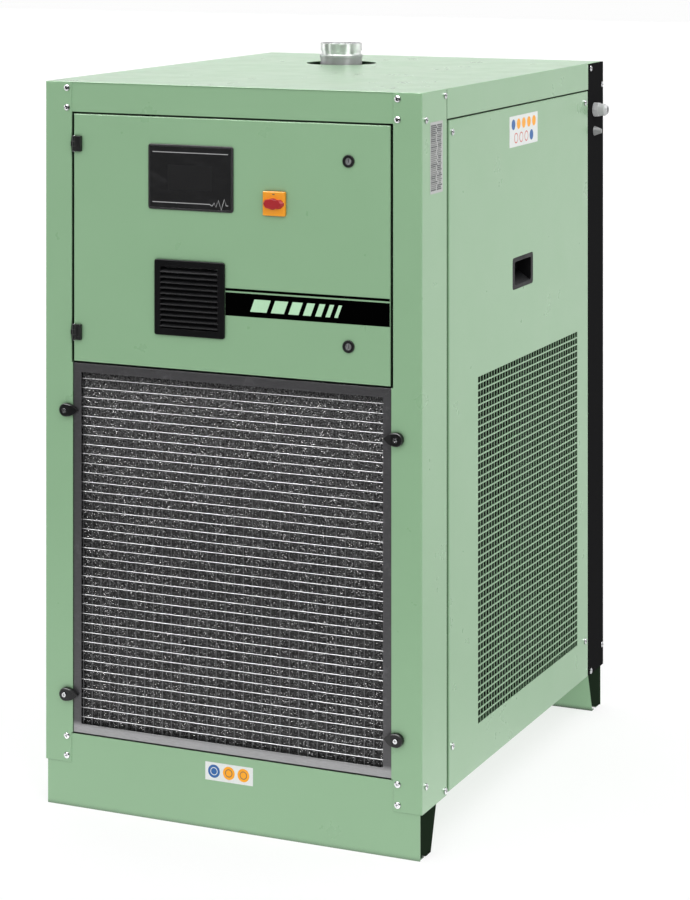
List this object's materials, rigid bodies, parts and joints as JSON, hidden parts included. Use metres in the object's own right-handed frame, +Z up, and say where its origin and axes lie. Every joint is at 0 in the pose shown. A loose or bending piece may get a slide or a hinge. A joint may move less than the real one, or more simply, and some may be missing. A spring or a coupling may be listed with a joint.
{
  "type": "refrigerated air dryer",
  "caption": "Free-standing refrigerated air dryer: green sheet-metal cabinet with a hinged electrical door, a pull-out metal air filter, a perforated side and a clamped pipe connection on top.",
  "frame": {"origin": "on the floor, under the centre of the cabinet's footprint", "axes": "-Y towards the front with the door and the filter, +X towards the perforated right side, +Z up"},
  "size_m": [0.8234, 1.0873, 1.443],
  "materials": {
    "green_paint": "semi-gloss powder coat",
    "dark_paint": "fine-texture powder coat",
    "galvanised": "zinc-coated sheet",
    "zinc_screw": "bright zinc plate",
    "filter_steel": "zinc-coated channel",
    "grid_wire": "bright wire",
    "metal_wool": "knitted metal wool",
    "black_plastic": "fine-grain moulding",
    "black_metal": "black hinge and lock finish",
    "lens": "glossy front film",
    "yellow_plastic": "satin moulding",
    "red_plastic": "satin moulding",
    "seal_rubber": "foam seal",
    "stripe_film": "printed film",
    "white_label": "printed label",
    "grey_plastic": "moulded plastic",
    "fin_aluminium": "fins",
    "copper": "copper tube",
    "black_casting": "gloss black shell",
    "steel_pipe": "rolled steel",
    "stainless": "formed stainless",
    "foam": "closed-cell foam",
    "insulation": "elastomer tube"
  },
  "bodies": {
    "cabinet": {"left_front_column": "green_paint", "right_front_column": "green_paint", "front_header": "green_paint", "middle_rail": "green_paint", "rear_posts": "galvanised", "base_pan": "green_paint", "front_kick_plate": "green_paint", "rear_kick_plate": "green_paint", "foot_gussets": "dark_paint", "roof_panel": "green_paint", "left_side_panel": "green_paint", "right_side_panel": "green_paint", "side_grip_cups": "black_plastic", "rear_cover": "dark_paint", "cabinet_screws": "zinc_screw", "filter_frame": "filter_steel", "filter_wire_grid": "grid_wire", "filter_wool": "metal_wool", "knob_screws": "zinc_screw", "frame_hinge_leaves": "black_metal", "hinge_pins": "zinc_screw", "lock_strikes": "green_paint", "rating_plate": "white_label", "information_labels": "white_label", "cable_gland": "grey_plastic", "cable_plug": "grey_plastic", "electrical_tray": "galvanised", "din_rails": "galvanised", "switchgear": "grey_plastic", "condenser_coil": "fin_aluminium", "condenser_bends": "copper", "fan_shroud": "galvanised", "fan_motor": "black_casting", "compressor": "black_casting", "compressor_grommets": "seal_rubber", "heat_exchanger": "stainless", "exchanger_jacket": "foam", "air_inlet_pipe": "steel_pipe", "air_outlet_pipe": "steel_pipe", "liquid_receiver": "black_casting", "suction_line": "insulation", "discharge_line": "copper", "condensate_drain": "grey_plastic"},
    "door": {"door_panel": "green_paint", "door_seal": "seal_rubber", "door_hinge_leaves": "black_metal", "lock_housings": "black_metal", "display_housing": "black_plastic", "display_lens": "lens", "switch_plate": "yellow_plastic", "vent_grille": "black_plastic", "door_stripe": "stripe_film"},
    "upper_lock": {"upper_lock_cam": "galvanised"},
    "lower_lock": {"lower_lock_cam": "galvanised"},
    "main_switch": {"switch_handle": "red_plastic"},
    "fan": {"fan_impeller": "black_plastic"},
    "upper_left_knob": {"filter_knob_upper_left": "black_plastic"},
    "upper_right_knob": {"filter_knob_upper_right": "black_plastic"},
    "lower_left_knob": {"filter_knob_lower_left": "black_plastic"},
    "lower_right_knob": {"filter_knob_lower_right": "black_plastic"}
  },
  "joints": [
    {"name": "door_hinge", "type": "hinge", "parent": "cabinet", "child": "door", "pos_m": [-0.3288, -0.5196, 1.099], "axis": [0, 0, -1], "range_deg": [0, 110]},
    {"name": "upper_lock_turn", "type": "hinge", "parent": "door", "child": "upper_lock", "pos_m": [0.249, -0.515, 1.27], "axis": [0, -1, 0], "range_deg": [0, 90]},
    {"name": "lower_lock_turn", "type": "hinge", "parent": "door", "child": "lower_lock", "pos_m": [0.249, -0.515, 0.9285], "axis": [0, -1, 0], "range_deg": [0, 90]},
    {"name": "main_switch_turn", "type": "hinge", "parent": "door", "child": "main_switch", "pos_m": [0.0985, -0.515, 1.185], "axis": [0, -1, 0], "range_deg": [0, 90]},
    {"name": "upper_left_knob_turn", "type": "hinge", "parent": "cabinet", "child": "upper_left_knob", "pos_m": [-0.347, -0.515, 0.766], "axis": [0, -1, 0], "range_deg": [-90, 90]},
    {"name": "upper_right_knob_turn", "type": "hinge", "parent": "cabinet", "child": "upper_right_knob", "pos_m": [0.347, -0.515, 0.766], "axis": [0, -1, 0], "range_deg": [-90, 90]},
    {"name": "lower_left_knob_turn", "type": "hinge", "parent": "cabinet", "child": "lower_left_knob", "pos_m": [-0.347, -0.515, 0.217], "axis": [0, -1, 0], "range_deg": [-90, 90]},
    {"name": "lower_right_knob_turn", "type": "hinge", "parent": "cabinet", "child": "lower_right_knob", "pos_m": [0.347, -0.515, 0.217], "axis": [0, -1, 0], "range_deg": [-90, 90]},
    {"name": "fan_spin", "type": "hinge", "parent": "cabinet", "child": "fan", "pos_m": [0, -0.35, 0.5], "axis": [0, 1, 0], "continuous": true}
  ]
}
